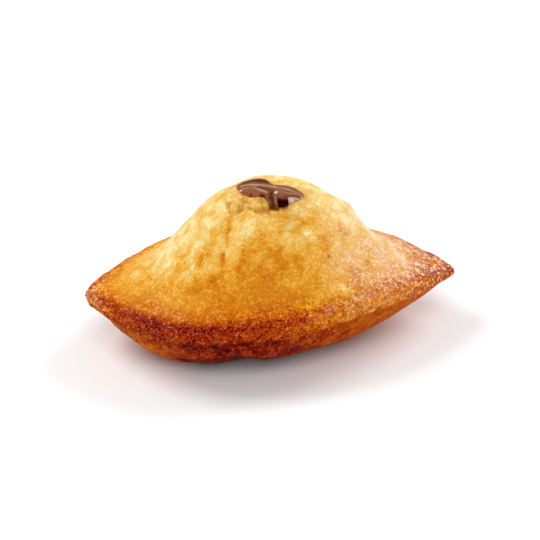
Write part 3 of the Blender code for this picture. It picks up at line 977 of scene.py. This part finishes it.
# Sizes in millimetres of the noises and grains, then how strongly each changes the crust
crustGrain = {
    "patchSize": 2.8,
    "mottleSize": 1.1,
    "fineSize": 0.45,
    "smallBeadSize": 0.52,
    "largeBeadSize": 0.7,
    "darkDotSize": 1.1,
    "paleDotSize": 0.6,
    "sheenSize": 2.6,
    "fleckSize": 2.2,
    "fine": 0.6,
    "beads": 0.04,
    "contrastBeads": 0.08,
    "speckledBeads": 0.1,
    "coarseBeads": 0.12,
    "tints": 0.1,
    "contrastTints": 0.5,
    "darkDots": 0.26,
    "paleDots": 0.2,
    "mottleBrowns": 0.25,
    "grainBrowns": 0.25,
    "mottleShadow": 0.3,
    "grainShadow": 1.5,
    "mottleRoughness": 0.3,
    "fleckedCoat": 0.2,
    "fleckCoat": 0.3,
    "smallBump": 0.16,
    "largeBump": 0.3,
}
# How far each layer covers what lies under it
crustCover = {
    "crumb": 0.7,
    # Painted shade between crumbs
    "gap": 0.8,
    # Painted sheen: thin where it lies, thick in patches
    "thinSheen": 0.25,
    "thickSheen": 1.1,
    "fleck": 0.65,
    "fleckOnSheen": 0.25,
    "rosyFleck": 0.9,
}


def spongeMaterial():
    material, tree, shader = newMaterial("bakedSponge")
    place = addNode(tree, "ShaderNodeTexCoord", {}, {}, "Object")

    def cloud(size, detail=2.0, shift=0.0):
        inputs = {0: place, 1: (shift * mm, shift * mm, 0.0)}
        shifted = addNode(tree, "ShaderNodeVectorMath", {"operation": "ADD"}, inputs)
        inputs = {"Vector": shifted, "Scale": 1 / (size * mm), "Detail": detail, "Roughness": 0.6}
        return addNode(tree, "ShaderNodeTexNoise", {}, inputs)

    def beads(size):
        # Round grains that lie close together. The first value is 1 at a grain's middle and 0
        # between grains, and the second is the grain's own tint
        inputs = {"Vector": place, "Scale": 1.2 / (size * mm), "Detail": 1.0}
        bend = addNode(tree, "ShaderNodeTexNoise", {}, inputs, "Color")
        inputs = {0: bend, 1: (size * mm,) * 3, 2: place}
        bent = addNode(tree, "ShaderNodeVectorMath", {"operation": "MULTIPLY_ADD"}, inputs)
        inputs = {"Vector": bent, "Scale": 1 / (size * mm)}
        away = addNode(tree, "ShaderNodeTexVoronoi", {}, inputs)
        own = addNode(tree, "ShaderNodeTexVoronoi", {}, inputs, "Color")
        return 1 - away.between(0.15, 0.75), addNode(tree, "ShaderNodeSeparateColor", {}, {"Color": own})

    def bump(height, distance, **below):
        inputs = {"Height": height, "Strength": 0.5, "Distance": distance * mm, **below}
        return addNode(tree, "ShaderNodeBump", {}, inputs)

    look = crustGrain
    cover = crustCover
    colours = crustColours
    browned = attribute(tree, "browned") * brownRange
    names = ("flecked", "film", "speckled", "coarse", "contrast")
    flecked, film, speckled, coarse, contrast = (attribute(tree, name) for name in names)
    patches = cloud(look["patchSize"], 3.0)
    mottle = cloud(look["mottleSize"])
    fine = cloud(look["fineSize"])
    smallBeads, smallTint = beads(look["smallBeadSize"])
    largeBeads, largeTint = beads(look["largeBeadSize"])
    granules = mix(coarse, smallBeads, largeBeads)
    tint = mix(coarse, smallTint, largeTint)
    darkDots = cloud(look["darkDotSize"], shift=31.0).between(0.52, 0.66)
    paleDots = cloud(look["paleDotSize"], shift=57.0).between(0.5, 0.64)

    # The fine grain changes how bright the crust is more than its colour
    beadDepth = look["beads"] + contrast * look["contrastBeads"]
    beadDepth = beadDepth + speckled * look["speckledBeads"] + coarse * look["coarseBeads"]
    grain = (fine - 0.5) * contrast * look["fine"] - (granules - 0.45) * beadDepth
    grain = grain - (tint - 0.5) * granules * (look["tints"] + contrast * look["contrastTints"])
    grain = grain + darkDots * speckled * look["darkDots"] - paleDots * speckled * look["paleDots"]
    baked = browned + (patches - 0.5) * attribute(tree, "patchy")
    baked = baked + (mottle - 0.5) * contrast * look["mottleBrowns"] + grain * look["grainBrowns"]
    stops = tuple((position / brownRange, colour) for position, colour in colours["stops"])
    crust = addNode(tree, "ShaderNodeValToRGB", {"stops": stops}, {"Fac": (baked / brownRange).clamp()})
    shadow = grain * look["grainShadow"] + (mottle - 0.5) * contrast * look["mottleShadow"]
    crust = darken(crust, shadow)

    # Torn crumb and its painted shade, painted sheen, flecks with painted glints, stains and painted shade
    # lie over the crust in that order
    crumb = mixColour(mottle.between(0.35, 0.65), colours["crumbPale"], colours["crumbDeep"])
    torn = attribute(tree, "torn").between(0.3, 0.8)
    colour = mixColour(torn * cover["crumb"], crust, crumb)
    # Painted shade between crumbs
    colour = mixColour(attribute(tree, "gap") * cover["gap"], colour, colours["gap"])
    # Painted sheen on the hinge end and the fan's tip
    sheenColour = mixColour(browned.between(0.3, 0.7), colours["paleSheen"], colours["rosySheen"])
    sheenColour = darken(sheenColour, shadow)
    spread = cloud(look["sheenSize"], 3.0, 83.0).between(0.38, 0.62)
    sheenShare = (film * (cover["thinSheen"] + spread * cover["thickSheen"])).clamp()
    colour = mixColour(sheenShare, colour, sheenColour)
    # Pale flecks: light grains of the crust, brightened as painted glints
    gather = cloud(look["fleckSize"], 3.0, 13.0).between(0.34, 0.6)
    fleck = granules.between(0.1, 0.6) * tint.between(0.3, 0.75) * gather * flecked
    sheened = film.between(0.03, 0.2)
    fleckColour = mixColour(browned.between(0.3, 0.6), colours["cream"], colours["golden"])
    fleckColour = mixColour(browned.between(0.75, 1.0), fleckColour, colours["rust"])
    fleckColour = mixColour(sheened * cover["rosyFleck"], fleckColour, colours["rosyGlint"])
    colour = mixColour(fleck * (cover["fleck"] + sheened * cover["fleckOnSheen"]), colour, fleckColour)
    colour = mixColour(attribute(tree, "stained"), colour, colours["stainAndShade"])

    feed(shader, "Base Color", colour)
    feed(shader, "Roughness", 0.5 + (mottle - 0.5) * look["mottleRoughness"])
    coat = flecked * flecked * look["fleckedCoat"] + fleck * look["fleckCoat"]
    feed(shader, "Coat Weight", coat.clamp())
    shader.inputs["Coat Roughness"].default_value = 0.25
    shader.inputs["Specular IOR Level"].default_value = 0.01
    shader.inputs["Subsurface Weight"].default_value = 0.1
    shader.inputs["Subsurface Radius"].default_value = (1.0, 0.45, 0.15)
    shader.inputs["Subsurface Scale"].default_value = 1.2 * mm
    small = bump(granules * 0.5 + fine, look["smallBump"])
    feed(shader, "Normal", bump(mottle, look["largeBump"], Normal=small))
    return material


# The chocolate

filling = {
    "points": 256,
    "rings": 96,
    "overlap": 0.3,
    "ragged": 0.4,
    "raggedSize": 0.9,
    "fitGap": 0.3,
    "rise": 0.4,
    "edgeDrop": 0.05,
    "edgePower": 8,
    "hollowFrom": 2.9,
    "facetFrom": 5.0,
    "hollowDepth": 1.6,
    "facetDepth": -0.1,
    "skinEdgeWidth": 0.55,
    "thinEdgeWidth": 0.55,
    "pocketRings": (0.0, 0.5),
    # Painted shadow along the right lobe's skin edge
    "skinEdgeShadow": 0.8,
    "skinEdgeShadowRange": (4.0, 6.0),
    "spotsDarker": 1.5,
}
# Folds in the skin: (path, half width, height, how much paler the fold is painted), painted sheen above 0
# and painted shade below 0
folds = (
    (((-4.3, -0.6), (-2.4, -0.8), (-0.7, -1.4), (1.0, -2.2), (2.6, -3.1)), 0.45, 0.3, 0.9),
    (((-3.6, 1.2), (-1.6, 1.3), (0.0, 0.5)), 0.6, 0.1, -0.9),
    (((-3.9, -1.9), (-2.0, -2.2), (-0.3, -3.2), (1.2, -4.6)), 0.32, 0.24, 0.8),
    (((2.6, -2.9), (4.4, -3.4), (6.2, -4.1), (8.2, -4.9)), 0.45, 0.22, 0.7),
    (((3.2, -4.3), (5.0, -4.9), (7.0, -5.1)), 0.3, 0.14, 0.6),
    (((-0.6, -2.1), (1.0, -3.0), (2.3, -3.9)), 0.35, -0.25, -0.6),
    (((-3.8, 2.4), (-1.4, 2.3), (0.4, 1.4), (1.3, 0.0)), 0.9, -0.2, -1.0),
    (((2.7, -5.9), (2.7, -6.6), (2.6, -7.1)), 0.15, 0.14, 0.8),
    (((1.6, -5.0), (2.0, -6.2), (2.1, -7.6)), 0.6, 0.0, -0.9),
)
# The near edge of the right lobe's skin, below which it drops into a hollow painted near black as shade and
# a glossy facet painted with a highlight
skinEdge = ((1.8, -4.9), (4.2, -5.7), (6.2, -5.5), (8.8, -5.2))
# Where the chocolate thins out over the crumb and looks redder
thinEdge = ((-4.8, -2.0), (-3.8, -3.0), (-2.2, -3.7), (-0.8, -4.6), (0.8, -5.6))
# Dark spots and wet glints: (x, y, radius)
darkSpots = ((-0.1, -4.9, 0.45), (0.4, -5.3, 0.3), (2.0, -4.6, 0.3), (-2.4, -4.4, 0.3))
glints = ((2.9, -4.5, 0.26), (-4.5, -2.1, 0.24), (8.3, -5.3, 0.22))


def belowSkin(x, y):
    # How far each place belongs to the hollow, and to the facet, under the skin's near edge
    width = filling["skinEdgeWidth"]
    below = fade(along(x, skinEdge) - y, 0.0, width)
    below = below * fade(x, filling["hollowFrom"], filling["hollowFrom"] + width)
    facet = fade(x, filling["facetFrom"], filling["facetFrom"] + width)
    return below * (1 - facet), below * facet


def fillingHeight(x, y, share):
    # share is 0 at the middle of the mouth and 1 at the chocolate's edge
    edge = share ** filling["edgePower"]
    z = topHeight(x, y) - collar(x, y) + filling["rise"] * (1 - edge) - filling["edgeDrop"] * edge
    for path, width, height, tone in folds:
        z = z + height * ridge(x, y, path, width) * (1 - edge)
    hollow, facet = belowSkin(x, y)
    return z - filling["hollowDepth"] * hollow - filling["facetDepth"] * facet


def buildFilling():
    count = filling["points"]
    angle = np.arange(count) * 2 * math.pi / count
    radius = mouthRadius(angle)
    edge = np.stack([radius * np.cos(angle), radius * np.sin(angle), np.zeros(count)], -1)
    ragged = filling["ragged"] * noiseAt(edge, filling["raggedSize"], 15.7)
    radius = radius + filling["overlap"] + ragged
    gap = filling["fitGap"]
    floor = mouthFloor() + gap
    rings = []
    for lift in filling["pocketRings"]:
        x, y = aroundMouth(angle, mouthRadius(angle) - mouth["draft"] * (1 - lift) - gap)
        rings.append(np.stack([x, y, floor + (fillingHeight(x, y, 1.0) - floor) * lift], -1))
    for step in range(filling["rings"]):
        share = 1 - step / filling["rings"]
        x, y = aroundMouth(angle, radius * share)
        rings.append(np.stack([x, y, fillingHeight(x, y, share)], -1))
    grid = np.stack(rings)

    x, y = grid[..., 0], grid[..., 1]
    hollow, facet = belowSkin(x, y)
    tone = np.zeros(x.shape)
    # Painted sheen along folds, painted shade in grooves and on the far edge
    for path, width, height, paler in folds:
        tone = tone + paler * ridge(x, y, path, width)
    # Painted shadow under the right lobe's skin edge
    byEdge = ridge(x, y, skinEdge, filling["skinEdgeWidth"] / 2) * fade(x, *filling["skinEdgeShadowRange"])
    tone = tone - filling["skinEdgeShadow"] * byEdge
    tone = tone - filling["spotsDarker"] * bumps(x, y, [(*spot, 1.0) for spot in darkSpots])
    fields = {
        "tone": (np.clip(0.5 + 0.5 * tone * (1 - hollow), 0.0, 1.0), 0.5, 0.5),
        "hollow": (hollow, 0.0, 0.0),
        "facet": (facet, 0.0, 0.0),
        "thin": (ridge(x, y, thinEdge, filling["thinEdgeWidth"]), 0.0, 0.0),
        "glint": (np.clip(bumps(x, y, [(*glint, 1.0) for glint in glints]), 0.0, 1.0), 0.0, 0.0),
    }
    middle = (mouth["x"], mouth["y"])
    top = float(fillingHeight(*middle, 0.0))
    piece = meshFromRings("chocolateFilling", grid, (*middle, floor), (*middle, top), fields)
    piece.data.materials.append(chocolateMaterial())
    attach(piece, "root")
    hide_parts("chocolate_filling")
    return piece


chocolateColours = {
    "skin": srgb(142, 90, 62),
    "skinDeep": srgb(118, 66, 40),
    # Painted sheen on the folds
    "foldSheen": srgb(178, 138, 116),
    # Painted shade
    "dark": srgb(84, 36, 8),
    "thin": srgb(158, 82, 38),
    # Painted shade in the hollow
    "hollow": srgb(50, 0, 0),
    # Painted highlight on the facet
    "facet": srgb(212, 176, 160),
    "glint": srgb(252, 234, 222),
}
# Fine streaks that run along the lobes, which also paint streaks of sheen and shade on them
streaks = {
    "perMetre": 1300.0,
    "stretch": (5.0, 1.0, 1.0),
    "turn": (0.0, 0.0, math.radians(-24)),
    "tone": 1.1,
    "roughness": 0.2,
    "bump": 0.15,
}


def chocolateMaterial():
    material, tree, shader = newMaterial("softChocolate")
    place = addNode(tree, "ShaderNodeTexCoord", {}, {}, "Object")
    tone = attribute(tree, "tone")
    facet = attribute(tree, "facet")
    glint = attribute(tree, "glint")
    inputs = {"Vector": place, "Rotation": streaks["turn"], "Scale": streaks["stretch"]}
    drawn = addNode(tree, "ShaderNodeMapping", {"vector_type": "TEXTURE"}, inputs)
    inputs = {"Vector": drawn, "Scale": streaks["perMetre"], "Detail": 3.0}
    streak = addNode(tree, "ShaderNodeTexNoise", {}, inputs)
    tone = tone + (streak - 0.5) * streaks["tone"]
    colours = chocolateColours
    colour = mixColour(streak.between(0.35, 0.65), colours["skin"], colours["skinDeep"])
    # Painted sheen
    colour = mixColour(tone.between(0.55, 1.0), colour, colours["foldSheen"])
    colour = mixColour(attribute(tree, "thin") * 0.8, colour, colours["thin"])
    # Painted shade
    colour = mixColour((1 - tone).between(0.55, 0.95), colour, colours["dark"])
    # Painted highlight on the facet
    colour = mixColour(facet * (0.25 + 0.75 * streak.between(0.35, 0.55)), colour, colours["facet"])
    # Painted shade in the hollow
    colour = mixColour(attribute(tree, "hollow").between(0.1, 0.5), colour, colours["hollow"])
    colour = mixColour(glint, colour, colours["glint"])
    feed(shader, "Base Color", colour)
    feed(shader, "Roughness", 0.36 + streak * streaks["roughness"])
    feed(shader, "Coat Weight", (facet * 0.4 + glint).clamp())
    shader.inputs["Coat Roughness"].default_value = 0.12
    shader.inputs["Specular IOR Level"].default_value = 0.04
    inputs = {"Height": streak, "Strength": 0.35, "Distance": streaks["bump"] * mm}
    feed(shader, "Normal", addNode(tree, "ShaderNodeBump", {}, inputs))
    return material


# Floor, light and camera

studio = {
    "floorSize": 2.4,
    "floorColour": (0.94, 0.94, 0.94),
    "floorRoughness": 0.9,
    "ambient": 0.38,
    "aimHeight": 0.015,
    "softBoxes": (
        # name, place, size, watts
        ("keyLeftBack", (-0.55, 0.35, 0.75), 0.5, 4.8),
        ("rimRightBack", (0.60, 0.40, 0.55), 0.45, 3.6),
        ("topFront", (0.05, -0.70, 0.70), 0.7, 4.5),
    ),
}
cameraShot = {
    "elevation": 28.0,
    "roll": 4.686,
    "distance": 393.0,
    "lens": 120.0,
    "sensor": 36.0,
    "aimRight": 0.305,
    "aimUp": 0.45,
}


def buildStudio():
    data = bpy.data.meshes.new("paleFloor")
    half = studio["floorSize"] / 2
    corners = [(-half, -half, 0), (half, -half, 0), (half, half, 0), (-half, half, 0)]
    data.from_pydata(corners, [], [(0, 1, 2, 3)])
    floor = bpy.data.objects.new("paleFloor", data)
    bpy.context.collection.objects.link(floor)
    material, tree, shader = newMaterial("paleFloor")
    shader.inputs["Base Color"].default_value = (*studio["floorColour"], 1.0)
    shader.inputs["Roughness"].default_value = studio["floorRoughness"]
    data.materials.append(material)

    world = bpy.data.worlds.new("studioAir")
    world.use_nodes = True
    world.node_tree.nodes["Background"].inputs["Color"].default_value = (1.0, 1.0, 1.0, 1.0)
    world.node_tree.nodes["Background"].inputs["Strength"].default_value = studio["ambient"]
    bpy.context.scene.world = world
    for name, place, size, watts in studio["softBoxes"]:
        light = bpy.data.lights.new(name, "AREA")
        light.shape = "SQUARE"
        light.size = size
        light.energy = watts
        lamp = bpy.data.objects.new(name, light)
        bpy.context.collection.objects.link(lamp)
        lamp.location = place
        aim = Vector((0.0, 0.0, studio["aimHeight"])) - Vector(place)
        lamp.rotation_euler = aim.to_track_quat("-Z", "Y").to_euler()


def buildCamera():
    elevation = math.radians(cameraShot["elevation"])
    roll = math.radians(cameraShot["roll"])
    forward = Vector((0.0, math.cos(elevation), -math.sin(elevation)))
    right = Vector((1.0, 0.0, 0.0))
    up = right.cross(forward)
    turnedRight = right * math.cos(roll) - up * math.sin(roll)
    turnedUp = right * math.sin(roll) + up * math.cos(roll)
    aim = turnedRight * cameraShot["aimRight"] + turnedUp * cameraShot["aimUp"]
    aim = aim + Vector((0.0, 0.0, cake["brimHeight"]))
    place = (aim - forward * cameraShot["distance"]) * mm
    data = bpy.data.cameras.new("photoCamera")
    data.lens = cameraShot["lens"]
    data.sensor_width = cameraShot["sensor"]
    camera = bpy.data.objects.new("photoCamera", data)
    bpy.context.collection.objects.link(camera)
    turn = Matrix((turnedRight, turnedUp, -forward)).transposed()
    camera.matrix_world = Matrix.Translation(place) @ turn.to_4x4()
    bpy.context.scene.camera = camera


bpy.context.scene.view_settings.view_transform = "Standard"
print("camera and studio")
buildCamera()
buildStudio()
print("sponge")
buildSponge()
print("chocolate")
buildFilling()
